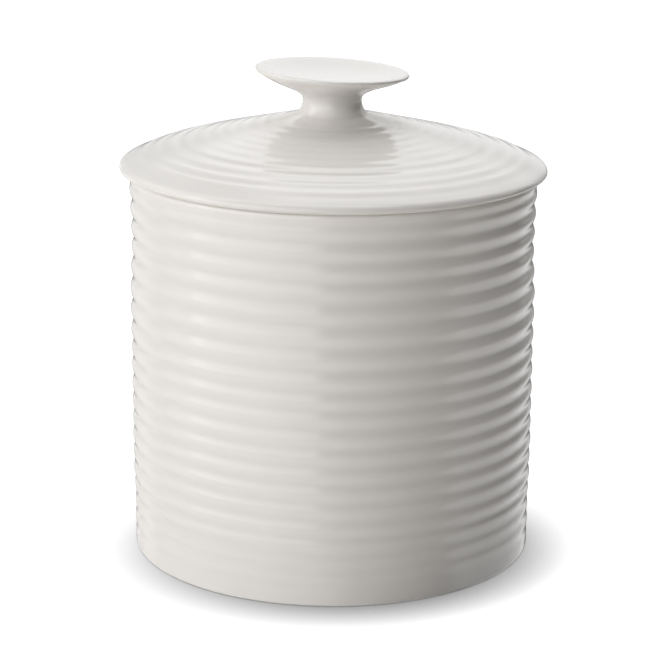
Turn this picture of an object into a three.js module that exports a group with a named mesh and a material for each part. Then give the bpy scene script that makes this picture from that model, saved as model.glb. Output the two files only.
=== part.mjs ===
// A lidded porcelain storage jar with the rings of a thrown pot, in three pieces: the jar, a domed lid
// with its knob cast on, and a finned silicone ring in a groove round the lid's plug.
// Millimetres, +Z up. The origin is the centre of the foot, on the surface that the jar stands on.
import * as THREE from "three";

// Driving sizes
const bodyHeight = 142; // foot to mouth rim
const bodyRadius = 75.1; // over the proudest crests
const lidOverhang = 3.3; // the body's proudest crests to the lid's widest line
const domeHeight = 21.4; // lid's seat to the top of the dome, at the knob's neck
const knobRadius = 28;

// Running and seating gaps
const seatGap = 0.3; // lid on the mouth rim
const sealGap = 0.3; // silicone ring in its groove, and its fins in the mouth

// Jar body
const wall = 4.6; // bottom of a ring's valley to the bore
const floorThickness = 5.5;
const floorFillet = 10;
const rimRounding = 1.6;
const footRounding = 1.4;
const footWidth = 5;
const footRecess = 2; // depth of the hollow under the floor
const footBevel = 1.5;
const lowestRing = 4; // foot to the lowest crest
const ringDepth = 0.9;

// The rings from the mouth down: crest to crest, the depth of the valley that follows each crest, and
// how far each crest and the foot stay inside the proudest ones
const ringPitchShares = [
  0.66, 1.04, 1.03, 1.01, 1.1, 1.15, 1.15, 1.12, 1.02, 0.93, 1.03, 0.94, 0.96, 0.94, 0.93, 0.97, 0.84,
  0.92, 0.86, 0.9,
];
const ringDepthShares = [
  0.3, 0.95, 1, 1, 0.9, 0.95, 1, 1, 0.9, 0.7, 0.9, 0.75, 0.8, 0.7, 0.72, 0.66, 0.66, 0.5, 0.36, 0.24,
];
const ringInsetShares = [
  0.1, 0.2, 0.45, 0.7, 0.8, 0.4, 0, 0, 0.05, 0.2, 0.1, 0.1, 0.1, 0.15, 0.05, 0.2, 0.2, 0.5, 0.65, 0.6, 0.7,
];

// Lid
const lidThickness = 4.6;
const lipHeight = 1.6; // seat to the widest line of the edge
const shoulderHeight = 4.1; // seat to where the dome meets the edge
const shoulderReach = 2.6; // dome's end to the widest line of the edge
const beadHeight = 0.8; // small upright lip round the seat
const beadReach = 1.1; // mouth rim to the outside of that lip
const shelfReach = 1; // undercut between that lip and the edge
const coneShare = 0.87; // part of the dome's fall that is straight
const shoulderPower = 8; // how late the rest of it turns down
const edgeFullShare = 0.62; // how full the edge's rounding is above its widest line
const domeRingDepth = 0.42;

// Valleys on the dome as shares of the way from the neck to the dome's end, and their depths
const domeRingShares = [0.12, 0.2, 0.285, 0.365, 0.44, 0.515, 0.605, 0.692, 0.795, 0.874, 0.955];
const domeDepthShares = [0.5, 0.4, 0.3, 0.3, 0.25, 0.25, 0.3, 0.8, 0.5, 0.55, 0.45];

// Knob
const knobLip = 1.35; // height of the knob's edge
const knobEdgeRounding = 0.9;
const knobDish = 0.9; // hollow in the knob's top
const knobRim = 3.5; // land round that hollow
const knobUnderShares = [0.42, 0.52, 0.5]; // how the hollow curve under the knob bends
const knobOffset = 0.6; // the knob sits this far off the lid's middle, towards -X
const knobRise = 10.9; // the neck's waist to the rim of the knob's top
const neckRadius = 10.7; // at its waist
const neckRise = 5; // dome to waist
const neckFlare = 2.1; // widening from there down to the dome
const neckHollowRadius = 5.4;
const neckHollowMouth = 10; // radius where the hollow opens under the dome
const neckHollowTop = 5.2; // knob's top to the end of the hollow
const knobLeanDegrees = 2.6; // the knob's outer disc is out of level
const knobLeanStart = 15; // under the knob, radius where that lean begins
const knobUnderLeanShare = 0.8; // how much of it the knob's underside takes

// Plug under the lid, and the groove that holds the silicone ring
const plugClearance = 1.9;
const plugWall = 4.4;
const plugToe = 2.8; // groove to the end of the plug
const plugRounding = 1.2;
const plugFillet = 3; // inside, between the plug and the dome
const grooveTop = 4.6; // seat to the groove
const grooveHeight = 6.2;
const grooveDepth = 1.6;

// Silicone ring
const finCount = 3;
const finRoot = 1;
const finTip = 0.6;
const finSweep = 0.45; // the fins point up a little, away from the way in

// The rings, mouth and lid run slightly out of level, as hand-thrown rings do
const throwLeanDegrees = 0.4;
const throwLeanHeight = 30; // foot to where that lean is full

// Places worked out from the sizes above
const boreRadius = bodyRadius - ringDepth - wall;
const seatHeight = bodyHeight + seatGap;
const beadRadius = bodyRadius + beadReach;
const lidRadius = bodyRadius + lidOverhang;
const domeTop = seatHeight + domeHeight;
const waistHeight = domeTop + neckRise;
const knobTop = waistHeight + knobRise;
const domeEnd = seatHeight + shoulderHeight;
const domeStart = neckRadius + neckFlare;
const domeEndRadius = lidRadius - shoulderReach;
const plugRadius = boreRadius - plugClearance;
const plugBore = plugRadius - plugWall;
const grooveRadius = plugRadius - grooveDepth;
const grooveCeiling = seatHeight - grooveTop;
const grooveFloor = grooveCeiling - grooveHeight;
const plugEnd = grooveFloor - plugToe;

// Facets
const segmentsAround = 36;
const cornerSteps = 2;
const edgeSteps = 3;
const curveSteps = 4;
const stepsPerRing = 4;

const { lerp, smoothstep } = THREE.MathUtils;
const at = (radius, height) => new THREE.Vector2(radius, height);
const curved = (steps, ...controls) =>
  (controls.length === 3
    ? new THREE.QuadraticBezierCurve(...controls)
    : new THREE.CubicBezierCurve(...controls)
  ).getPoints(steps);
const rounded = (start, corner, end) => curved(cornerSteps, start, corner, end);
const sum = (shares) => shares.reduce((total, share) => total + share, 0);

// Revolves a profile, drawn from the outside of the bottom round to the inside, about +Z.
function revolve(points) {
  return new THREE.LatheGeometry(points, segmentsAround).rotateX(Math.PI / 2);
}

// Moves every point by a rule of its place, which says how far along X and Z.
function displace(geometry, rule) {
  const place = geometry.getAttribute("position");
  for (let i = 0; i < place.count; i++) {
    const [x, y, z] = [place.getX(i), place.getY(i), place.getZ(i)];
    const [alongX, alongZ] = rule(x, Math.hypot(x, y), z);
    place.setXYZ(i, x + alongX, y, z + alongZ);
  }
  geometry.computeVertexNormals();
  return geometry;
}

const slope = (degrees) => Math.tan(THREE.MathUtils.degToRad(degrees));

// The whole pot leans from a level foot.
function throwLean(x, radius, z) {
  return [0, -x * slope(throwLeanDegrees) * smoothstep(z, 0, throwLeanHeight)];
}

// The knob's top and edge lean, its neck stays upright, and all of it sits a little off centre.
function knobLean(x, radius, z) {
  const under = knobUnderLeanShare * smoothstep(radius, knobLeanStart, knobRadius);
  const above = smoothstep(z, knobTop - knobLip, knobTop - knobDish);
  const share = z > waistHeight ? Math.max(under, above) : 0;
  const carried = smoothstep(z, domeTop - neckFlare, domeTop + neckFlare);
  return [-knobOffset * carried, -x * slope(knobLeanDegrees) * share];
}

// The jar's outer wall from the lowest crest up to the mouth, as a wave of crests and valleys.
function ringedWall() {
  const ringed = bodyHeight - rimRounding - lowestRing;
  const crestRadius = (ring) => bodyRadius - ringDepth * ringInsetShares[ring];
  const points = [at(crestRadius(0), bodyHeight - rimRounding)];
  let crest = bodyHeight - rimRounding;
  ringPitchShares.forEach((share, ring) => {
    const pitch = (ringed * share) / sum(ringPitchShares);
    const depth = ringDepth * ringDepthShares[ring];
    for (let step = 1; step <= stepsPerRing; step++) {
      const turn = step / stepsPerRing;
      const level = lerp(crestRadius(ring), crestRadius(ring + 1), smoothstep(turn, 0, 1));
      const sunk = (depth * (1 - Math.cos(2 * Math.PI * turn))) / 2;
      points.push(at(level - sunk, crest - pitch * turn));
    }
    crest -= pitch;
  });
  return points.reverse();
}

function jarBody() {
  const mouthRadius = bodyRadius - ringDepth * ringInsetShares[0];
  const footRadius = bodyRadius - ringDepth * ringInsetShares.at(-1);
  const footStand = footRadius - footRounding;
  const footInner = footStand - footWidth;
  const floor = footRecess + floorThickness;
  const rimInner = boreRadius + rimRounding;
  const rimOuter = mouthRadius - rimRounding;
  const rimSide = bodyHeight - rimRounding;
  return revolve([
    at(0, footRecess),
    at(footInner - footBevel, footRecess),
    at(footInner, 0),
    ...rounded(at(footStand, 0), at(footRadius, 0), at(footRadius, footRounding)),
    ...ringedWall(),
    ...rounded(at(mouthRadius, rimSide), at(mouthRadius, bodyHeight), at(rimOuter, bodyHeight)).slice(1),
    ...rounded(at(rimInner, bodyHeight), at(boreRadius, bodyHeight), at(boreRadius, rimSide)),
    ...curved(
      curveSteps,
      at(boreRadius, floor + floorFillet),
      at(boreRadius, floor),
      at(boreRadius - floorFillet, floor),
    ),
    at(0, floor),
  ]);
}

// Height of the dome's middle line, without its rings: a cone that turns down at the shoulder.
function domeLine(radius) {
  const way = (radius - domeStart) / (domeEndRadius - domeStart);
  const fallen = coneShare * way + (1 - coneShare) * way ** shoulderPower;
  return domeTop - (domeTop - domeEnd) * fallen;
}

// The dome's outer surface from its end in to the neck: a wave between the valleys' radii.
function ringedDome() {
  const width = domeEndRadius - domeStart;
  const valleys = domeRingShares.map((share) => domeStart + width * share);
  const points = [];
  valleys.forEach((valley, ring) => {
    const before = ring ? valleys[ring - 1] : 2 * domeStart - valley;
    const after = ring < valleys.length - 1 ? valleys[ring + 1] : 2 * domeEndRadius - valley;
    const depth = domeRingDepth * domeDepthShares[ring];
    const halfIn = (valley - before) / 2;
    const halfOut = (after - valley) / 2;
    for (let step = -stepsPerRing / 2; step < stepsPerRing / 2; step++) {
      const turn = (2 * step) / stepsPerRing;
      const radius = valley + turn * (turn < 0 ? halfIn : halfOut);
      const sunk = (depth * (1 + Math.cos(Math.PI * turn))) / 2;
      points.push(at(radius, domeLine(radius) - sunk));
    }
  });
  points.push(at(domeEndRadius, domeEnd));
  return points.reverse();
}

// The lid's rounded edge, from the seat out and up to the end of the dome.
function lidEdge() {
  const beadTop = seatHeight + beadHeight;
  const lip = seatHeight + lipHeight;
  return [
    ...rounded(
      at(beadRadius - beadHeight / 2, seatHeight),
      at(beadRadius, seatHeight),
      at(beadRadius, beadTop - beadHeight / 3),
    ),
    at(beadRadius + shelfReach / 3, beadTop),
    ...curved(edgeSteps, at(beadRadius + shelfReach, beadTop), at(lidRadius, beadTop), at(lidRadius, lip)),
    ...curved(
      edgeSteps,
      at(lidRadius, lip),
      at(lidRadius, lerp(lip, domeEnd, edgeFullShare)),
      at(domeEndRadius, domeEnd),
    ).slice(1),
  ];
}

// The knob from its neck on the dome, round the disc, to the middle of its dished top.
function knobOutline() {
  const edgeFoot = knobTop - knobLip;
  const underEnd = knobRadius - knobEdgeRounding / 3;
  const dishRadius = knobRadius - knobRim;
  const [riseShare, bendShare, bendHeightShare] = knobUnderShares;
  return [
    ...curved(
      curveSteps,
      at(domeStart, domeTop),
      at(neckRadius, domeTop + neckFlare),
      at(neckRadius, waistHeight),
    ).slice(1),
    ...curved(
      curveSteps + 2,
      at(neckRadius, waistHeight),
      at(neckRadius, lerp(waistHeight, edgeFoot, riseShare)),
      at(lerp(neckRadius, underEnd, bendShare), lerp(waistHeight, edgeFoot, bendHeightShare)),
      at(underEnd, edgeFoot),
    ).slice(1),
    ...curved(
      edgeSteps,
      at(knobRadius, edgeFoot + knobLip / 3),
      at(knobRadius, knobTop),
      at(knobRadius - knobEdgeRounding, knobTop),
    ),
    ...curved(
      edgeSteps,
      at(dishRadius, knobTop),
      at(dishRadius / 2, knobTop - knobDish),
      at(0, knobTop - knobDish),
    ),
  ];
}

// The lid's inside, from the middle of the neck's hollow out to the foot of the plug and up to the seat.
function lidInside() {
  const under = (radius) => domeLine(radius) - lidThickness;
  const hollowTop = knobTop - neckHollowTop;
  const ceilingEnd = plugBore - plugFillet;
  const ceiling = [];
  for (let step = 0; step <= curveSteps; step++) {
    const radius = lerp(neckHollowMouth, ceilingEnd, step / curveSteps);
    ceiling.push(at(radius, under(Math.max(radius, domeStart))));
  }
  return [
    ...rounded(
      at(0, hollowTop),
      at(neckHollowRadius, hollowTop),
      at(neckHollowRadius, hollowTop - neckHollowRadius),
    ),
    ...curved(
      edgeSteps,
      at(neckHollowRadius, domeTop),
      at(neckHollowRadius, under(domeStart)),
      ceiling[0],
    ),
    ...ceiling.slice(1),
    ...rounded(
      at(plugBore - plugFillet / 2, under(ceilingEnd + plugFillet / 2)),
      at(plugBore, under(plugBore)),
      at(plugBore, under(plugBore) - plugFillet),
    ),
    ...rounded(
      at(plugBore, plugEnd + plugRounding),
      at(plugBore, plugEnd),
      at(plugBore + plugRounding, plugEnd),
    ),
    ...rounded(
      at(plugRadius - plugRounding, plugEnd),
      at(plugRadius, plugEnd),
      at(plugRadius, plugEnd + plugRounding),
    ),
    at(plugRadius, grooveFloor),
    at(grooveRadius, grooveFloor),
    at(grooveRadius, grooveCeiling),
    at(plugRadius, grooveCeiling),
    at(plugRadius, seatHeight),
  ];
}

function lid() {
  return revolve([...lidInside(), ...lidEdge(), ...ringedDome().slice(1), ...knobOutline()]);
}

// The silicone ring: a band that fills the groove, with fins that reach the mouth's bore.
function sealRing() {
  const bandInner = grooveRadius + sealGap;
  const bandOuter = plugRadius;
  const bandFloor = grooveFloor + sealGap;
  const bandCeiling = grooveCeiling - sealGap;
  const tipRadius = boreRadius - sealGap;
  const pitch = (bandCeiling - bandFloor) / finCount;
  const points = [at(bandInner, bandCeiling), at(bandInner, bandFloor), at(bandOuter, bandFloor)];
  for (let fin = 0; fin < finCount; fin++) {
    const middle = bandFloor + pitch * (fin + 0.5);
    points.push(
      at(bandOuter, middle - finRoot / 2),
      at(tipRadius, middle + finSweep - finTip / 2),
      at(tipRadius, middle + finSweep + finTip / 2),
      at(bandOuter, middle + finRoot / 2),
    );
  }
  points.push(at(bandOuter, bandCeiling), at(bandInner, bandCeiling));
  return revolve(points);
}

const porcelain = new THREE.MeshStandardMaterial({ color: 0xe8e5e0, roughness: 0.12, metalness: 0 });
const silicone = new THREE.MeshStandardMaterial({ color: 0xdfe2e0, roughness: 0.55, metalness: 0 });

function piece(name, geometry, material) {
  const mesh = new THREE.Mesh(displace(geometry, throwLean), material);
  mesh.name = name;
  return mesh;
}

const jar = new THREE.Group();
const liftedLid = new THREE.Group();
jar.add(piece("jar_body", jarBody(), porcelain), liftedLid);
liftedLid.add(piece("lid", displace(lid(), knobLean), porcelain), piece("seal_ring", sealRing(), silicone));

export default jar;
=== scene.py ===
import math

import bpy
from mathutils import Matrix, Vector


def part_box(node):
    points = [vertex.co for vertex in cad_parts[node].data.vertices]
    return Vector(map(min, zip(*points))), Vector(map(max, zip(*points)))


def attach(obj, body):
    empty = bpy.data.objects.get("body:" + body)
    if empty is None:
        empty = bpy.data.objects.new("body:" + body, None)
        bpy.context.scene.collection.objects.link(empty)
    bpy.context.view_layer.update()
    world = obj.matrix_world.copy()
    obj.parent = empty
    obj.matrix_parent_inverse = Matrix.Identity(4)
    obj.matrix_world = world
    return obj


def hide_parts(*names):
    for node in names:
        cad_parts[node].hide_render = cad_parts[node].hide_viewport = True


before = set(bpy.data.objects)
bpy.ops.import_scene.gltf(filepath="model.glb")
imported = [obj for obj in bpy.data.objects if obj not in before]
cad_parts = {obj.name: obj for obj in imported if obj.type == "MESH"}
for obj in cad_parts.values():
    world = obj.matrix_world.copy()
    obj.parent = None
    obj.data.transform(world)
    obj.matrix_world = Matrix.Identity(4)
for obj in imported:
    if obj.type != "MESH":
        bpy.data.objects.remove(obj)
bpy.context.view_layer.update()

# Radii that the frame gives, in metres
_, jar_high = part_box("jar_body")
_, lid_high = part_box("lid")
BODY_RADIUS = jar_high[0]
LID_RADIUS = lid_high[0]

# Sizes of the jar, as in the frame
MM = 0.001
BODY_HEIGHT = 142 * MM
WALL = 4.6 * MM
FLOOR_THICKNESS = 5.5 * MM
FLOOR_FILLET = 10 * MM
RIM_ROUNDING = 1.6 * MM
FOOT_ROUNDING = 1.4 * MM
FOOT_WIDTH = 5 * MM
FOOT_RECESS = 2 * MM
FOOT_BEVEL = 1.5 * MM
LOWEST_RING = 4 * MM
RING_DEPTH = 0.9 * MM

# The wall's rings from the mouth down: spacing, depth, and how far each crest and the foot stay in
RING_PITCH_SHARES = (
    0.66, 1.04, 1.03, 1.01, 1.1, 1.15, 1.15, 1.12, 1.02, 0.93,
    1.03, 0.94, 0.96, 0.94, 0.93, 0.97, 0.84, 0.92, 0.86, 0.9,
)
RING_DEPTH_SHARES = (
    0.3, 0.95, 1, 1, 0.9, 0.95, 1, 1, 0.9, 0.7,
    0.9, 0.75, 0.8, 0.7, 0.72, 0.66, 0.66, 0.5, 0.36, 0.24,
)
RING_INSET_SHARES = (
    0.1, 0.2, 0.45, 0.7, 0.8, 0.4, 0, 0, 0.05, 0.2, 0.1,
    0.1, 0.1, 0.15, 0.05, 0.2, 0.2, 0.5, 0.65, 0.6, 0.7,
)

# Sizes of the lid, as in the frame
SEAT_GAP = 0.3 * MM
DOME_HEIGHT = 21.4 * MM
LID_THICKNESS = 4.6 * MM
LIP_HEIGHT = 1.6 * MM
SHOULDER_HEIGHT = 4.1 * MM
SHOULDER_REACH = 2.6 * MM
BEAD_HEIGHT = 0.8 * MM
BEAD_REACH = 1.1 * MM
SHELF_REACH = 1 * MM
CONE_SHARE = 0.87
SHOULDER_POWER = 8
EDGE_FULL_SHARE = 0.62
DOME_RING_DEPTH = 0.42 * MM
DOME_RING_SHARES = (0.12, 0.2, 0.285, 0.365, 0.44, 0.515, 0.605, 0.692, 0.795, 0.874, 0.955)
DOME_DEPTH_SHARES = (0.5, 0.4, 0.3, 0.3, 0.25, 0.25, 0.3, 0.8, 0.5, 0.55, 0.45)

# Sizes of the knob and its neck, as in the frame
KNOB_RADIUS = 28 * MM
KNOB_LIP = 1.35 * MM
KNOB_EDGE_ROUNDING = 0.9 * MM
KNOB_DISH = 0.9 * MM
KNOB_RIM = 3.5 * MM
KNOB_UNDER_SHARES = (0.42, 0.52, 0.5)
KNOB_OFFSET = 0.6 * MM
KNOB_RISE = 10.9 * MM
NECK_RADIUS = 10.7 * MM
NECK_RISE = 5 * MM
NECK_FLARE = 2.1 * MM
NECK_HOLLOW_RADIUS = 5.4 * MM
NECK_HOLLOW_MOUTH = 10 * MM
NECK_HOLLOW_TOP = 5.2 * MM
KNOB_LEAN_DEGREES = 2.6
KNOB_LEAN_START = 15 * MM
KNOB_UNDER_LEAN_SHARE = 0.8

# Sizes of the plug and the silicone ring, as in the frame
SEAL_GAP = 0.3 * MM
PLUG_CLEARANCE = 1.9 * MM
PLUG_WALL = 4.4 * MM
PLUG_TOE = 2.8 * MM
PLUG_ROUNDING = 1.2 * MM
PLUG_FILLET = 3 * MM
GROOVE_TOP = 4.6 * MM
GROOVE_HEIGHT = 6.2 * MM
GROOVE_DEPTH = 1.6 * MM
FIN_COUNT = 3
FIN_ROOT = 1 * MM
FIN_TIP = 0.6 * MM
FIN_SWEEP = 0.45 * MM

# Lean of the whole pot, as in the frame
THROW_LEAN_DEGREES = 0.4
THROW_LEAN_HEIGHT = 30 * MM

# Places worked out from those sizes
BORE_RADIUS = BODY_RADIUS - RING_DEPTH - WALL
SEAT_HEIGHT = BODY_HEIGHT + SEAT_GAP
BEAD_RADIUS = BODY_RADIUS + BEAD_REACH
DOME_TOP = SEAT_HEIGHT + DOME_HEIGHT
WAIST_HEIGHT = DOME_TOP + NECK_RISE
KNOB_TOP = WAIST_HEIGHT + KNOB_RISE
DOME_END = SEAT_HEIGHT + SHOULDER_HEIGHT
DOME_START = NECK_RADIUS + NECK_FLARE
DOME_END_RADIUS = LID_RADIUS - SHOULDER_REACH
PLUG_RADIUS = BORE_RADIUS - PLUG_CLEARANCE
PLUG_BORE = PLUG_RADIUS - PLUG_WALL
GROOVE_RADIUS = PLUG_RADIUS - GROOVE_DEPTH
GROOVE_CEILING = SEAT_HEIGHT - GROOVE_TOP
GROOVE_FLOOR = GROOVE_CEILING - GROOVE_HEIGHT
PLUG_END = GROOVE_FLOOR - PLUG_TOE

# How finely the wheel-turned shapes are drawn
TURNS = 180
STEPS_PER_RING = 12
CURVE_STEPS = 7
BORE_STEPS = 6
CEILING_STEPS = 8
BEAD_STEPS = 3
TRUMPET_STEPS = 10
MERGE_DISTANCE = 0.001 * MM

# Cages that lean the pieces: points along each axis, and how far a cage stands off its piece
THROW_CAGE_POINTS = (2, 2, 50)
KNOB_CAGE_POINTS = (31, 31, 24)
CAGE_MARGIN = 2 * MM
KNOB_CAGE_HEADROOM = 1 * MM

# Degrees between faces from which an edge stays sharp
PORCELAIN_EDGE = 40
SILICONE_EDGE = 30


def lerp(a, b, share):
    return a + (b - a) * share


def smoothstep(value, low, high):
    share = min(max((value - low) / (high - low), 0), 1)
    return share * share * (3 - 2 * share)


def slope(degrees):
    return math.tan(math.radians(degrees))


def bend(*controls, steps=CURVE_STEPS):
    """Points (radius, height) along a curve that its control points pull."""
    points = []
    for step in range(steps + 1):
        level = list(controls)
        while len(level) > 1:
            level = [
                (lerp(a[0], b[0], step / steps), lerp(a[1], b[1], step / steps))
                for a, b in zip(level, level[1:])
            ]
        points.append(level[0])
    return points


# Profiles, as points (radius, height)

def ringed_wall():
    """The jar's wall from its lowest crest up to the mouth."""
    ringed = BODY_HEIGHT - RIM_ROUNDING - LOWEST_RING
    crest = BODY_HEIGHT - RIM_ROUNDING
    crest_radii = [BODY_RADIUS - RING_DEPTH * share for share in RING_INSET_SHARES]
    points = [(crest_radii[0], crest)]
    for ring, share in enumerate(RING_PITCH_SHARES):
        pitch = ringed * share / sum(RING_PITCH_SHARES)
        depth = RING_DEPTH * RING_DEPTH_SHARES[ring]
        for step in range(1, STEPS_PER_RING + 1):
            turn = step / STEPS_PER_RING
            level = lerp(crest_radii[ring], crest_radii[ring + 1], smoothstep(turn, 0, 1))
            sunk = depth * (1 - math.cos(2 * math.pi * turn)) / 2
            points.append((level - sunk, crest - pitch * turn))
        crest -= pitch
    return points[::-1]


def jar_profile():
    """The jar from the middle of its underside, round the outside, to the middle of its floor."""
    mouth_radius = BODY_RADIUS - RING_DEPTH * RING_INSET_SHARES[0]
    foot_radius = BODY_RADIUS - RING_DEPTH * RING_INSET_SHARES[-1]
    foot_stand = foot_radius - FOOT_ROUNDING
    foot_inner = foot_stand - FOOT_WIDTH
    floor = FOOT_RECESS + FLOOR_THICKNESS
    fillet_top = floor + FLOOR_FILLET
    rim_side = BODY_HEIGHT - RIM_ROUNDING
    rim_outer = mouth_radius - RIM_ROUNDING
    rim_inner = BORE_RADIUS + RIM_ROUNDING
    bore = [
        (BORE_RADIUS, lerp(rim_side, fillet_top, step / BORE_STEPS))
        for step in range(1, BORE_STEPS)
    ]
    return [
        (0, FOOT_RECESS),
        (foot_inner / 2, FOOT_RECESS),
        (foot_inner - 2 * FOOT_BEVEL, FOOT_RECESS),
        (foot_inner - FOOT_BEVEL, FOOT_RECESS),
        (foot_inner - FOOT_BEVEL / 4, FOOT_BEVEL / 4),
        (foot_inner, 0),
        (foot_inner + FOOT_BEVEL / 2, 0),
        *bend((foot_stand, 0), (foot_radius, 0), (foot_radius, FOOT_ROUNDING)),
        *ringed_wall(),
        *bend((mouth_radius, rim_side), (mouth_radius, BODY_HEIGHT), (rim_outer, BODY_HEIGHT))[1:],
        *bend((rim_inner, BODY_HEIGHT), (BORE_RADIUS, BODY_HEIGHT), (BORE_RADIUS, rim_side)),
        *bore,
        *bend((BORE_RADIUS, fillet_top), (BORE_RADIUS, floor), (BORE_RADIUS - FLOOR_FILLET, floor)),
        (BORE_RADIUS / 2, floor),
        (0, floor),
    ]


def dome_line(radius):
    """Height of the dome without its rings: a cone that turns down at the shoulder."""
    way = (radius - DOME_START) / (DOME_END_RADIUS - DOME_START)
    fallen = CONE_SHARE * way + (1 - CONE_SHARE) * max(way, 0) ** SHOULDER_POWER
    return DOME_TOP - (DOME_TOP - DOME_END) * fallen


def ringed_dome():
    """The dome's outer surface from its end in to the neck."""
    valleys = [lerp(DOME_START, DOME_END_RADIUS, share) for share in DOME_RING_SHARES]
    befores = [2 * DOME_START - valleys[0], *valleys[:-1]]
    afters = [*valleys[1:], 2 * DOME_END_RADIUS - valleys[-1]]
    points = []
    for before, valley, after, share in zip(befores, valleys, afters, DOME_DEPTH_SHARES):
        for step in range(-STEPS_PER_RING // 2, STEPS_PER_RING // 2):
            turn = 2 * step / STEPS_PER_RING
            half = (valley - before) / 2 if turn < 0 else (after - valley) / 2
            sunk = DOME_RING_DEPTH * share * (1 + math.cos(math.pi * turn)) / 2
            radius = valley + turn * half
            points.append((radius, dome_line(radius) - sunk))
    points.append((DOME_END_RADIUS, DOME_END))
    return points[::-1]


def lid_edge():
    """The lid's rounded edge, from the seat out and up to the end of the dome."""
    bead_top = SEAT_HEIGHT + BEAD_HEIGHT
    lip = SEAT_HEIGHT + LIP_HEIGHT
    return [
        *bend(
            (BEAD_RADIUS - BEAD_HEIGHT / 2, SEAT_HEIGHT),
            (BEAD_RADIUS, SEAT_HEIGHT),
            (BEAD_RADIUS, bead_top - BEAD_HEIGHT / 3),
            steps=BEAD_STEPS,
        ),
        (BEAD_RADIUS + SHELF_REACH / 3, bead_top),
        *bend((BEAD_RADIUS + SHELF_REACH, bead_top), (LID_RADIUS, bead_top), (LID_RADIUS, lip)),
        *bend(
            (LID_RADIUS, lip),
            (LID_RADIUS, lerp(lip, DOME_END, EDGE_FULL_SHARE)),
            (DOME_END_RADIUS, DOME_END),
        )[1:],
    ]


def knob_outline():
    """The knob from its neck on the dome, round the disc, to the middle of its dished top."""
    edge_foot = KNOB_TOP - KNOB_LIP
    under_end = KNOB_RADIUS - KNOB_EDGE_ROUNDING / 3
    dish_radius = KNOB_RADIUS - KNOB_RIM
    dish_floor = KNOB_TOP - KNOB_DISH
    rise_share, bend_share, bend_height_share = KNOB_UNDER_SHARES
    bend_height = lerp(WAIST_HEIGHT, edge_foot, bend_height_share)
    return [
        *bend(
            (DOME_START, DOME_TOP),
            (NECK_RADIUS, DOME_TOP + NECK_FLARE),
            (NECK_RADIUS, WAIST_HEIGHT),
        )[1:],
        *bend(
            (NECK_RADIUS, WAIST_HEIGHT),
            (NECK_RADIUS, lerp(WAIST_HEIGHT, edge_foot, rise_share)),
            (lerp(NECK_RADIUS, under_end, bend_share), bend_height),
            (under_end, edge_foot),
            steps=TRUMPET_STEPS,
        )[1:],
        *bend(
            (KNOB_RADIUS, edge_foot + KNOB_LIP / 3),
            (KNOB_RADIUS, KNOB_TOP),
            (KNOB_RADIUS - KNOB_EDGE_ROUNDING, KNOB_TOP),
        ),
        *bend((dish_radius, KNOB_TOP), (dish_radius / 2, dish_floor), (0, dish_floor)),
    ]


def lid_inside():
    """The lid's inside, from the middle of the neck's hollow to the plug's foot and the seat."""
    hollow_top = KNOB_TOP - NECK_HOLLOW_TOP
    ceiling_end = PLUG_BORE - PLUG_FILLET

    def under(radius):
        return dome_line(max(radius, DOME_START)) - LID_THICKNESS

    ceiling = []
    for step in range(CEILING_STEPS + 1):
        radius = lerp(NECK_HOLLOW_MOUTH, ceiling_end, step / CEILING_STEPS)
        ceiling.append((radius, under(radius)))
    return [
        *bend(
            (0, hollow_top),
            (NECK_HOLLOW_RADIUS, hollow_top),
            (NECK_HOLLOW_RADIUS, hollow_top - NECK_HOLLOW_RADIUS),
        ),
        *bend(
            (NECK_HOLLOW_RADIUS, DOME_TOP),
            (NECK_HOLLOW_RADIUS, under(DOME_START)),
            ceiling[0],
        ),
        *ceiling[1:],
        *bend(
            (PLUG_BORE - PLUG_FILLET / 2, under(ceiling_end + PLUG_FILLET / 2)),
            (PLUG_BORE, under(PLUG_BORE)),
            (PLUG_BORE, under(PLUG_BORE) - PLUG_FILLET),
        ),
        *bend(
            (PLUG_BORE, PLUG_END + PLUG_ROUNDING),
            (PLUG_BORE, PLUG_END),
            (PLUG_BORE + PLUG_ROUNDING, PLUG_END),
        ),
        *bend(
            (PLUG_RADIUS - PLUG_ROUNDING, PLUG_END),
            (PLUG_RADIUS, PLUG_END),
            (PLUG_RADIUS, PLUG_END + PLUG_ROUNDING),
        ),
        (PLUG_RADIUS, GROOVE_FLOOR),
        (GROOVE_RADIUS, GROOVE_FLOOR),
        (GROOVE_RADIUS, GROOVE_CEILING),
        (PLUG_RADIUS, GROOVE_CEILING),
        (PLUG_RADIUS, SEAT_HEIGHT),
    ]


def lid_profile():
    """The lid from the middle of its inside, round the edge, to the middle of the knob's top."""
    return lid_inside() + lid_edge() + ringed_dome()[1:] + knob_outline()


def seal_profile():
    """A band that fills the groove, with fins that reach the mouth's bore."""
    band_inner = GROOVE_RADIUS + SEAL_GAP
    band_floor = GROOVE_FLOOR + SEAL_GAP
    band_ceiling = GROOVE_CEILING - SEAL_GAP
    tip_radius = BORE_RADIUS - SEAL_GAP
    pitch = (band_ceiling - band_floor) / FIN_COUNT
    points = [(band_inner, band_ceiling), (band_inner, band_floor), (PLUG_RADIUS, band_floor)]
    for fin in range(FIN_COUNT):
        middle = band_floor + pitch * (fin + 0.5)
        points += [
            (PLUG_RADIUS, middle - FIN_ROOT / 2),
            (tip_radius, middle + FIN_SWEEP - FIN_TIP / 2),
            (tip_radius, middle + FIN_SWEEP + FIN_TIP / 2),
            (PLUG_RADIUS, middle + FIN_ROOT / 2),
        ]
    return points + [(PLUG_RADIUS, band_ceiling), (band_inner, band_ceiling)]


# Modelling

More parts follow.
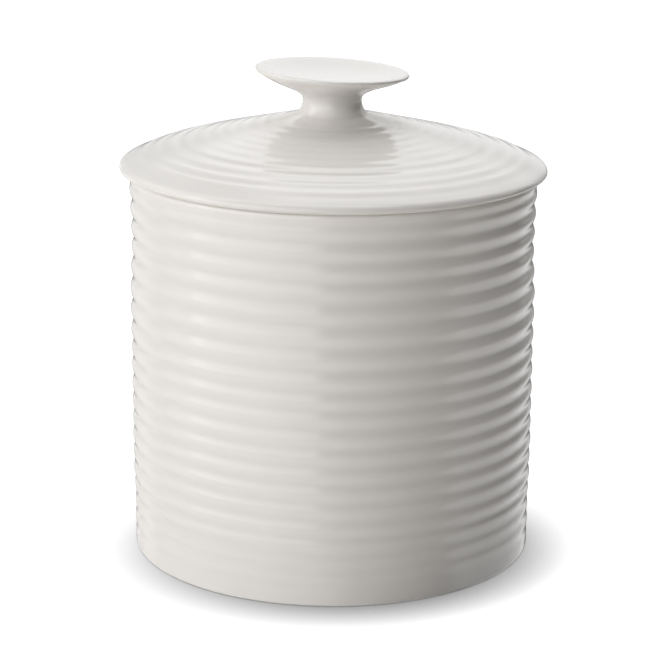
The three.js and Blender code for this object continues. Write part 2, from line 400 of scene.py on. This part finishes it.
def turn_on_wheel(name, profile):
    """Draws a profile from one point by extruding it, then spins it into a closed pot."""
    bpy.ops.object.select_all(action="DESELECT")
    radius, height = profile[0]
    bpy.ops.mesh.primitive_plane_add(size=MM, location=(radius, 0, height))
    piece = bpy.context.object
    piece.name = name
    bpy.ops.object.transform_apply(location=True)
    bpy.ops.object.mode_set(mode="EDIT")
    bpy.ops.mesh.select_all(action="SELECT")
    bpy.ops.mesh.merge(type="CENTER")
    for (from_radius, from_height), (to_radius, to_height) in zip(profile, profile[1:]):
        move = (to_radius - from_radius, 0, to_height - from_height)
        bpy.ops.mesh.extrude_region_move(TRANSFORM_OT_translate={"value": move})
    bpy.ops.mesh.select_all(action="SELECT")
    bpy.ops.mesh.spin(steps=TURNS, angle=math.tau, center=(0, 0, 0), axis=(0, 0, 1))
    bpy.ops.mesh.select_all(action="SELECT")
    bpy.ops.mesh.remove_doubles(threshold=MERGE_DISTANCE)
    bpy.ops.mesh.normals_make_consistent(inside=False)
    bpy.ops.object.mode_set(mode="OBJECT")
    return piece


def bend_in_cage(piece, low, high, counts, move):
    """Bends a piece with a lattice between two corners; move gives each of its points a shift."""
    middle = [(a + b) / 2 for a, b in zip(low, high)]
    cells = [(b - a) / (count - 1) for a, b, count in zip(low, high, counts)]
    cage_data = bpy.data.lattices.new("cage")
    cage_data.points_u, cage_data.points_v, cage_data.points_w = counts
    for axis in "uvw":
        setattr(cage_data, "interpolation_type_" + axis, "KEY_CARDINAL")
    cage = bpy.data.objects.new("cage", cage_data)
    bpy.context.collection.objects.link(cage)
    cage.location = middle
    cage.scale = cells
    for point in cage_data.points:
        place = [centre + step * cell for centre, step, cell in zip(middle, point.co, cells)]
        for axis, (shift, cell) in enumerate(zip(move(*place), cells)):
            point.co_deform[axis] += shift / cell
    bender = piece.modifiers.new("bend", "LATTICE")
    bender.object = cage
    bpy.context.view_layer.update()
    bpy.context.view_layer.objects.active = piece
    bpy.ops.object.modifier_apply(modifier=bender.name)
    bpy.data.objects.remove(cage)
    bpy.data.lattices.remove(cage_data)


def throw_lean(x, y, z):
    """The rings and the rim tip a little to the right, from a foot that stays level."""
    return (0, 0, -x * slope(THROW_LEAN_DEGREES) * smoothstep(z, 0, THROW_LEAN_HEIGHT))


def lean_with_the_pot(piece):
    width = LID_RADIUS + CAGE_MARGIN
    high = (width, width, KNOB_TOP + CAGE_MARGIN)
    bend_in_cage(piece, (-width, -width, 0), high, THROW_CAGE_POINTS, throw_lean)


def knob_lean(x, y, z):
    """The knob's disc tips to the right over an upright neck, and sits a little off centre."""
    share = 0
    if z > WAIST_HEIGHT:
        outwards = smoothstep(math.hypot(x, y), KNOB_LEAN_START, KNOB_RADIUS)
        upwards = smoothstep(z, KNOB_TOP - KNOB_LIP, KNOB_TOP - KNOB_DISH)
        share = max(KNOB_UNDER_LEAN_SHARE * outwards, upwards)
    offset = KNOB_OFFSET * smoothstep(z, DOME_TOP - NECK_FLARE, DOME_TOP + NECK_FLARE)
    return (-offset, 0, -x * slope(KNOB_LEAN_DEGREES) * share)


def lean_knob(piece):
    width = KNOB_RADIUS + CAGE_MARGIN
    low = (-width, -width, DOME_TOP - 2 * NECK_FLARE)
    high = (width, width, KNOB_TOP + KNOB_CAGE_HEADROOM)
    bend_in_cage(piece, low, high, KNOB_CAGE_POINTS, knob_lean)


def smooth(piece, degrees):
    """Shades a piece smooth, and keeps edges sharper than an angle."""
    bpy.ops.object.select_all(action="DESELECT")
    piece.select_set(True)
    bpy.context.view_layer.objects.active = piece
    bpy.ops.object.shade_smooth_by_angle(angle=math.radians(degrees))


# Nodes

# Places of a Mix node's two inputs and its result, for colours and for numbers
MIX_PLACES = {"RGBA": (6, 7, 2), "FLOAT": (2, 3, 0)}


def link(tree, source, target):
    tree.links.new(source, target)


def feed(tree, value, socket):
    """Gives a socket another socket's value, a colour or a number."""
    if isinstance(value, bpy.types.NodeSocket):
        link(tree, value, socket)
    else:
        socket.default_value = (*value, 1) if isinstance(value, tuple) else value


def node(tree, kind, **settings):
    made = tree.nodes.new(kind)
    for key, value in settings.items():
        setattr(made, key, value)
    return made


def set_inputs(made, **values):
    """Sets a node's inputs, each named by its label with an underscore for each space."""
    for label, value in values.items():
        made.inputs[label.replace("_", " ")].default_value = value


def math_node(tree, operation, first, second=None, clamp=False):
    made = node(tree, "ShaderNodeMath", operation=operation, use_clamp=clamp)
    feed(tree, first, made.inputs[0])
    if second is not None:
        feed(tree, second, made.inputs[1])
    return made.outputs[0]


def mix(tree, kind, share, first, second):
    """Mixes two colours (RGBA) or two numbers (FLOAT)."""
    made = node(tree, "ShaderNodeMix", data_type=kind)
    link(tree, share, made.inputs["Factor"])
    first_place, second_place, result_place = MIX_PLACES[kind]
    feed(tree, first, made.inputs[first_place])
    feed(tree, second, made.inputs[second_place])
    return made.outputs[result_place]


def noise(tree, vector, per_metre, detail=2):
    """Soft random clouds, so many of them per metre."""
    made = node(tree, "ShaderNodeTexNoise")
    set_inputs(made, Scale=per_metre, Detail=detail)
    link(tree, vector, made.inputs["Vector"])
    return made.outputs["Fac"]


def bump(tree, height, strength, distance):
    made = node(tree, "ShaderNodeBump")
    set_inputs(made, Strength=strength, Distance=distance)
    link(tree, height, made.inputs["Height"])
    return made.outputs["Normal"]


def split_axes(tree, vector):
    made = node(tree, "ShaderNodeSeparateXYZ")
    link(tree, vector, made.inputs["Vector"])
    return made.outputs


def new_material(name):
    """An empty material: its node tree, its shader and the piece's own coordinates."""
    material = bpy.data.materials.new(name)
    material.use_nodes = True
    tree = material.node_tree
    coordinates = node(tree, "ShaderNodeTexCoord").outputs["Object"]
    return material, tree, tree.nodes["Principled BSDF"], coordinates


def new_group(name, inputs, outputs):
    """A shader node group with named sockets, each input with its own value."""
    group = bpy.data.node_groups.new(name, "ShaderNodeTree")
    for label, (kind, value) in inputs.items():
        socket = group.interface.new_socket(label, in_out="INPUT", socket_type=kind)
        if value is not None:
            socket.default_value = value
    for label in outputs:
        group.interface.new_socket(label, in_out="OUTPUT", socket_type="NodeSocketFloat")
    return group, node(group, "NodeGroupInput").outputs, node(group, "NodeGroupOutput").inputs


# Materials

# Glaze: noise per metre, heights in bumps, and the pointiness that counts as level and as hollow
GLAZE_WHITE = (0.872, 0.848, 0.817)
GLAZE_POOLED = (0.82, 0.797, 0.765)
GLAZE_ROUGHNESS = 0.05
GLAZE_IOR = 1.5
GLAZE_WAVES = 45
GLAZE_WAVE_DETAIL = 1
GLAZE_WAVE_HEIGHT = 0.9
GLAZE_RIPPLES = 420
GLAZE_RIPPLE_HEIGHT = 0.035
GLAZE_CLOUDS = 18
GLAZE_CLOUD_DETAIL = 3
GLAZE_CLOUD_FLOOR = 0.2
GLAZE_LEVEL = 0.515
GLAZE_HOLLOW = 0.485
PORCELAIN_BUMP = 0.04 * MM

# Lines that the potter's fingers leave, fainter on the jar than on the lid
THROWING_LINES_PER_METRE = 330.0
THROWING_CHANGES_AROUND = 12.0
JAR_LINE_HEIGHT = 0.3
LID_LINE_HEIGHT = 1.0

# Bare clay: under the foot, and on the lid's seat
CLAY_WHITE = (0.80, 0.775, 0.735)
CLAY_ROUGHNESS = 0.82
CLAY_GRAINS = 2600
CLAY_GRAIN_DETAIL = 3
GLAZE_EDGE_WANDERS = 130
GLAZE_EDGE_WANDER = 0.8 * MM
GLAZE_EDGE_BLEND = 0.3 * MM
FOOT_BARE = (-1 * MM, 0.5 * MM)
SEAT_BARE = (SEAT_HEIGHT - 0.6 * MM, SEAT_HEIGHT + 0.35 * MM)

# Silicone
SILICONE_WHITE = (0.76, 0.77, 0.76)
SILICONE_CLOUDY = (0.66, 0.68, 0.67)
SILICONE_CLOUDS = 60
SILICONE_SKIN = 900
SILICONE_SKIN_DETAIL = 4
SILICONE_ROUGHNESS = (0.4, 0.6)
SILICONE_IOR = 1.42
SILICONE_DEPTH = 3 * MM
SILICONE_DEPTH_WEIGHT = 0.4
SILICONE_BUMP_STRENGTH = 0.4
SILICONE_BUMP = 0.05 * MM


def fired_glaze_group():
    """A fired glaze: slow waves, fine ripple, and clouds of tint that pool in hollows."""
    group, given, result = new_group(
        "fired_glaze",
        {
            "Vector": ("NodeSocketVector", None),
            "Hollow": ("NodeSocketFloat", 0.5),
            "Wave Height": ("NodeSocketFloat", 1.0),
            "Ripple Height": ("NodeSocketFloat", 1.0),
        },
        ("Height", "Pooled"),
    )
    waves = noise(group, given["Vector"], GLAZE_WAVES, GLAZE_WAVE_DETAIL)
    ripples = noise(group, given["Vector"], GLAZE_RIPPLES)
    clouds = noise(group, given["Vector"], GLAZE_CLOUDS, GLAZE_CLOUD_DETAIL)
    slow = math_node(group, "MULTIPLY", waves, given["Wave Height"])
    quick = math_node(group, "MULTIPLY", ripples, given["Ripple Height"])
    link(group, math_node(group, "ADD", slow, quick), result["Height"])
    hollow = node(group, "ShaderNodeMapRange")
    link(group, given["Hollow"], hollow.inputs["Value"])
    set_inputs(hollow, From_Min=GLAZE_LEVEL, From_Max=GLAZE_HOLLOW)
    cloudy = math_node(group, "ADD", clouds, GLAZE_CLOUD_FLOOR)
    link(group, math_node(group, "MULTIPLY", hollow.outputs["Result"], cloudy), result["Pooled"])
    return group


def throwing_lines_group():
    """Fine lines that fingers leave in clay: they run round the pot and fade in and out."""
    group, given, result = new_group(
        "throwing_lines",
        {
            "Vector": ("NodeSocketVector", None),
            "Lines per Metre": ("NodeSocketFloat", THROWING_LINES_PER_METRE),
            "Changes Around": ("NodeSocketFloat", THROWING_CHANGES_AROUND),
        },
        ("Height",),
    )
    x, y, z = split_axes(group, given["Vector"])
    squares = [math_node(group, "POWER", math_node(group, "ABSOLUTE", side), 2) for side in (x, y)]
    radius = math_node(group, "SQRT", math_node(group, "ADD", *squares))
    along = math_node(group, "ADD", radius, z)
    stretched = node(group, "ShaderNodeCombineXYZ")
    for axis, distance, scale in (
        ("X", x, given["Changes Around"]),
        ("Y", y, given["Changes Around"]),
        ("Z", along, given["Lines per Metre"]),
    ):
        link(group, math_node(group, "MULTIPLY", distance, scale), stretched.inputs[axis])
    link(group, noise(group, stretched.outputs["Vector"], 1), result["Height"])
    return group


def bare_clay_group():
    """Grain of unglazed fired clay, and a mask of what lies between two heights."""
    group, given, result = new_group(
        "bare_clay",
        {
            "Vector": ("NodeSocketVector", None),
            "Top": ("NodeSocketFloat", 0.0),
            "Bottom": ("NodeSocketFloat", 0.0),
            "Blend": ("NodeSocketFloat", GLAZE_EDGE_BLEND),
        },
        ("Mask", "Grain"),
    )
    wander = noise(group, given["Vector"], GLAZE_EDGE_WANDERS)
    grain = noise(group, given["Vector"], CLAY_GRAINS, CLAY_GRAIN_DETAIL)
    _, _, z = split_axes(group, given["Vector"])
    centred = math_node(group, "SUBTRACT", wander, 0.5)
    height = math_node(group, "ADD", z, math_node(group, "MULTIPLY", centred, GLAZE_EDGE_WANDER))
    below = math_node(group, "SUBTRACT", given["Top"], height)
    above = math_node(group, "SUBTRACT", height, given["Bottom"])
    low_side = math_node(group, "DIVIDE", below, given["Blend"], clamp=True)
    high_side = math_node(group, "DIVIDE", above, given["Blend"], clamp=True)
    link(group, math_node(group, "MULTIPLY", low_side, high_side), result["Mask"])
    link(group, grain, result["Grain"])
    return group


def porcelain(name, bare, line_height):
    """White porcelain under a clear gloss glaze, left bare between two heights."""
    material, tree, shader, coordinates = new_material(name)
    shader.inputs["IOR"].default_value = GLAZE_IOR
    glaze = node(tree, "ShaderNodeGroup", node_tree=FIRED_GLAZE)
    set_inputs(glaze, Wave_Height=GLAZE_WAVE_HEIGHT, Ripple_Height=GLAZE_RIPPLE_HEIGHT)
    pointiness = node(tree, "ShaderNodeNewGeometry").outputs["Pointiness"]
    link(tree, pointiness, glaze.inputs["Hollow"])
    lines = node(tree, "ShaderNodeGroup", node_tree=THROWING_LINES)
    clay = node(tree, "ShaderNodeGroup", node_tree=BARE_CLAY)
    bare_bottom, bare_top = bare
    set_inputs(clay, Bottom=bare_bottom, Top=bare_top)
    for effect in (glaze, lines, clay):
        link(tree, coordinates, effect.inputs["Vector"])

    mask = clay.outputs["Mask"]
    glazed = mix(tree, "RGBA", glaze.outputs["Pooled"], GLAZE_WHITE, GLAZE_POOLED)
    colour = mix(tree, "RGBA", mask, glazed, CLAY_WHITE)
    link(tree, colour, shader.inputs["Base Color"])
    roughness = mix(tree, "FLOAT", mask, GLAZE_ROUGHNESS, CLAY_ROUGHNESS)
    link(tree, roughness, shader.inputs["Roughness"])
    thrown = math_node(tree, "MULTIPLY", lines.outputs["Height"], line_height)
    glaze_height = math_node(tree, "ADD", glaze.outputs["Height"], thrown)
    height = mix(tree, "FLOAT", mask, glaze_height, clay.outputs["Grain"])
    link(tree, bump(tree, height, 1, PORCELAIN_BUMP), shader.inputs["Normal"])
    return material


def silicone(name):
    """Milky silicone with a satin skin."""
    material, tree, shader, coordinates = new_material(name)
    shader.inputs["IOR"].default_value = SILICONE_IOR
    shader.inputs["Subsurface Weight"].default_value = SILICONE_DEPTH_WEIGHT
    shader.inputs["Subsurface Radius"].default_value = (SILICONE_DEPTH,) * 3
    skin = noise(tree, coordinates, SILICONE_SKIN, SILICONE_SKIN_DETAIL)
    clouds = noise(tree, coordinates, SILICONE_CLOUDS)
    colour = mix(tree, "RGBA", clouds, SILICONE_WHITE, SILICONE_CLOUDY)
    link(tree, colour, shader.inputs["Base Color"])
    link(tree, mix(tree, "FLOAT", skin, *SILICONE_ROUGHNESS), shader.inputs["Roughness"])
    normal = bump(tree, skin, SILICONE_BUMP_STRENGTH, SILICONE_BUMP)
    link(tree, normal, shader.inputs["Normal"])
    return material


FIRED_GLAZE = fired_glaze_group()
THROWING_LINES = throwing_lines_group()
BARE_CLAY = bare_clay_group()


# The three pieces

jar = turn_on_wheel("jar_of_porcelain", jar_profile())
lean_with_the_pot(jar)
smooth(jar, PORCELAIN_EDGE)
jar.data.materials.append(porcelain("jar_glaze", FOOT_BARE, JAR_LINE_HEIGHT))
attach(jar, "jar")
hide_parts("jar_body")

lid = turn_on_wheel("lid_of_porcelain", lid_profile())
lean_knob(lid)
lean_with_the_pot(lid)
smooth(lid, PORCELAIN_EDGE)
lid.data.materials.append(porcelain("lid_glaze", SEAT_BARE, LID_LINE_HEIGHT))
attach(lid, "lifted_lid")
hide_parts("lid")

seal = turn_on_wheel("silicone_ring", seal_profile())
lean_with_the_pot(seal)
smooth(seal, SILICONE_EDGE)
seal.data.materials.append(silicone("milky_silicone"))
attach(seal, "lifted_lid")
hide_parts("seal_ring")


# Studio: floor, lights and camera

# What the camera sees of the floor: its brightness in the open, and its brightness where the jar
# fills the whole occlusion test that paints a shadow round the foot, since no lamp casts that
# painted shadow. The painted shadow leans as if its light were tipped so many degrees from upright
# to the back, and turned so many to the left.
FLOOR_WIDTH = 12
FLOOR_SHOWN = 1.15
FLOOR_SHADOW = 0.0
FLOOR_SHADOW_REACH = 22 * MM
FLOOR_SHADOW_TILT = 50
FLOOR_SHADOW_BEARING = 24

# What the floor throws back on the jar: painted light and shade, brighter towards one azimuth and
# darker away from it, where the jar's shadow would fall
FLOOR_BRIGHT = 1.0
FLOOR_PAINTED_SHADE = 0.46
FLOOR_TINT = (1.0, 0.98, 0.955)
FLOOR_BRIGHT_AZIMUTH = -71
FLOOR_BRIGHT_SPREAD = 0.48

BACKDROP_SHOWN = 1.05
WHITE = (1, 1, 1, 1)

CAMERA_DISTANCE = 857 * MM
CAMERA_HEIGHT = 318.5 * MM
CAMERA_PITCH = 15.54
CAMERA_ROLL = 0.35
CAMERA_LENS = 128.46
CAMERA_SENSOR = 36

# Softboxes round the jar. All but the brightness are degrees; azimuth 0 is the camera's side and
# 90 the right, and softness is the width of the faded edge.
SOFTBOX_LABELS = (
    "Azimuth", "Half Width", "Elevation", "Half Height", "Softness", "Brightness",
)
SOFTBOXES = {
    "key": (-46, 39, 17, 17, 8, 2.12),
    "key_top": (-60, 46, 48, 13, 10, 0.34),
    "key_side": (-87, 13, 31, 12, 4, 1.65),
    "key_side_foot": (-90, 14, 9, 12, 8, 0.7),
    "left_top": (-118, 26, 50, 24, 12, 0.55),
    "back": (165, 28, 30, 10, 14, 1.5),
    "back_top": (165, 28, 49, 10, 14, 1.9),
    "back_foot": (160, 28, 9, 12, 14, 0.85),
    "back_left": (-144, 24, 42, 20, 14, 0.5),
    "back_left_foot": (-146, 24, 9, 14, 14, 0.4),
    "back_right": (125, 18, 36, 22, 12, 0.72),
    "ceiling_rim": (170, 70, 66, 10, 12, 1.0),
    "ceiling_back": (180, 92, 82, 10, 6, 2.5),
    "ceiling_front": (0, 92, 82, 10, 6, 1.2),
    "horizon_left": (-41, 35, -7, 8, 8, 0.4),
    "low_left": (-24, 29, -29, 24, 12, 0.5),
    "low_right": (117, 42, -28, 18, 15, 1.3),
    "low_back": (-179, 23, -15, 30, 8, 0.2),
    "low_back_left": (-146, 20, -20, 20, 12, 0.58),
    "under_right": (112, 69, -76, 22, 14, 1.27),
    "under_left": (-52, 89, -69, 27, 14, 0.55),
}


def split_for_camera(tree, lit, shown, output):
    """Lets the camera see one shader, and every other ray another."""
    path = node(tree, "ShaderNodeLightPath")
    switch = node(tree, "ShaderNodeMixShader")
    link(tree, path.outputs["Is Camera Ray"], switch.inputs[0])
    link(tree, lit.outputs[0], switch.inputs[1])
    link(tree, shown.outputs[0], switch.inputs[2])
    link(tree, switch.outputs[0], tree.nodes[output].inputs["Surface"])


def studio_floor():
    """A wide floor that lights the jar, darker on one side by painted shade; the camera sees it
    glow white but for a painted shadow at the foot.
    """
    bpy.ops.object.select_all(action="DESELECT")
    bpy.ops.mesh.primitive_plane_add(size=FLOOR_WIDTH, location=(0, 0, 0))
    floor = bpy.context.object
    floor.name = "studio_floor"
    floor.visible_glossy = False
    material, tree, principled, coordinates = new_material("studio_white")
    tree.nodes.remove(principled)

    # Painted shadow: the glow the camera sees is dimmed round the foot by an occlusion test that
    # leans this way, not by a lamp.
    tilt = math.radians(FLOOR_SHADOW_TILT)
    bearing = math.radians(FLOOR_SHADOW_BEARING)
    painted_shadow_lean = node(tree, "ShaderNodeCombineXYZ")
    set_inputs(
        painted_shadow_lean,
        X=-math.sin(tilt) * math.sin(bearing),
        Y=math.sin(tilt) * math.cos(bearing),
        Z=math.cos(tilt),
    )
    open_share = node(tree, "ShaderNodeAmbientOcclusion")
    set_inputs(open_share, Distance=FLOOR_SHADOW_REACH)
    link(tree, painted_shadow_lean.outputs["Vector"], open_share.inputs["Normal"])
    shown = node(tree, "ShaderNodeEmission")
    brightness = mix(tree, "FLOAT", open_share.outputs["AO"], FLOOR_SHADOW, FLOOR_SHOWN)
    link(tree, brightness, shown.inputs["Strength"])

    # Painted shade: for every ray but the camera's, the floor's colour darkens away from the key's
    # side to stand in for the shade there; no light casts it.
    azimuth = math.radians(FLOOR_BRIGHT_AZIMUTH)
    outwards = node(tree, "ShaderNodeVectorMath", operation="NORMALIZE")
    link(tree, coordinates, outwards.inputs[0])
    towards_key = node(tree, "ShaderNodeVectorMath", operation="DOT_PRODUCT")
    link(tree, outwards.outputs[0], towards_key.inputs[0])
    towards_key.inputs[1].default_value = (math.sin(azimuth), -math.cos(azimuth), 0)
    painted_light_share = node(tree, "ShaderNodeMapRange", interpolation_type="SMOOTHSTEP")
    link(tree, towards_key.outputs["Value"], painted_light_share.inputs["Value"])
    set_inputs(painted_light_share, From_Min=-FLOOR_BRIGHT_SPREAD, From_Max=FLOOR_BRIGHT_SPREAD)
    painted_shade_colour, painted_lit_colour = (
        tuple(share * tint for tint in FLOOR_TINT) for share in (FLOOR_PAINTED_SHADE, FLOOR_BRIGHT)
    )
    lit = node(tree, "ShaderNodeBsdfDiffuse")
    link(tree, mix(tree, "RGBA", painted_light_share.outputs["Result"], painted_shade_colour, painted_lit_colour), lit.inputs["Color"])

    split_for_camera(tree, lit, shown, "Material Output")
    floor.data.materials.append(material)


def softbox_group():
    """Glow of one softbox, seen in a direction."""
    group, given, result = new_group(
        "softbox",
        {
            "Direction": ("NodeSocketVector", None),
            **{label: ("NodeSocketFloat", 1.0) for label in SOFTBOX_LABELS},
        },
        ("Glow",),
    )
    x, y, z = split_axes(group, given["Direction"])
    towards_camera = math_node(group, "MULTIPLY", y, -1)
    azimuth = math_node(group, "DEGREES", math_node(group, "ARCTAN2", x, towards_camera))
    elevation = math_node(group, "DEGREES", math_node(group, "ARCSINE", z))
    aside = node(group, "ShaderNodeMath", operation="WRAP")
    link(group, math_node(group, "SUBTRACT", azimuth, given["Azimuth"]), aside.inputs[0])
    aside.inputs[1].default_value = 180
    aside.inputs[2].default_value = -180
    above = math_node(group, "SUBTRACT", elevation, given["Elevation"])
    glow = given["Brightness"]
    for offset, half in ((aside.outputs[0], "Half Width"), (above, "Half Height")):
        inside = math_node(group, "SUBTRACT", given[half], math_node(group, "ABSOLUTE", offset))
        edges_in = math_node(group, "DIVIDE", inside, given["Softness"])
        fade = node(group, "ShaderNodeMapRange", interpolation_type="SMOOTHSTEP")
        link(group, math_node(group, "ADD", edges_in, 0.5, clamp=True), fade.inputs["Value"])
        glow = math_node(group, "MULTIPLY", glow, fade.outputs["Result"])
    link(group, glow, result["Glow"])
    return group


def studio_world():
    """Softboxes round the jar; the camera itself sees plain white."""
    world = bpy.data.worlds.new("studio")
    world.use_nodes = True
    bpy.context.scene.world = world
    tree = world.node_tree
    direction = node(tree, "ShaderNodeTexCoord").outputs["Generated"]
    group = softbox_group()
    glows = []
    for name, values in SOFTBOXES.items():
        box = node(tree, "ShaderNodeGroup", node_tree=group, name=name)
        link(tree, direction, box.inputs["Direction"])
        for label, value in zip(SOFTBOX_LABELS, values):
            box.inputs[label].default_value = value
        glows.append(box.outputs["Glow"])
    total = glows[0]
    for glow in glows[1:]:
        total = math_node(tree, "ADD", total, glow)
    lit = tree.nodes["Background"]
    set_inputs(lit, Color=WHITE)
    link(tree, total, lit.inputs["Strength"])
    shown = node(tree, "ShaderNodeBackground")
    set_inputs(shown, Color=WHITE, Strength=BACKDROP_SHOWN)
    split_for_camera(tree, lit, shown, "World Output")


def photo_camera():
    """The photograph's long lens, a little above the jar and tipped down."""
    data = bpy.data.cameras.new("camera")
    data.lens = CAMERA_LENS
    data.sensor_width = CAMERA_SENSOR
    camera = bpy.data.objects.new("camera", data)
    bpy.context.collection.objects.link(camera)
    down = Matrix.Rotation(math.radians(90 - CAMERA_PITCH), 4, "X")
    roll = Matrix.Rotation(math.radians(CAMERA_ROLL), 4, "Z")
    place = Matrix.Translation((0, -CAMERA_DISTANCE, CAMERA_HEIGHT))
    camera.matrix_world = place @ down @ roll
    bpy.context.scene.camera = camera


studio_floor()
studio_world()
photo_camera()
bpy.context.scene.view_settings.view_transform = "Standard"
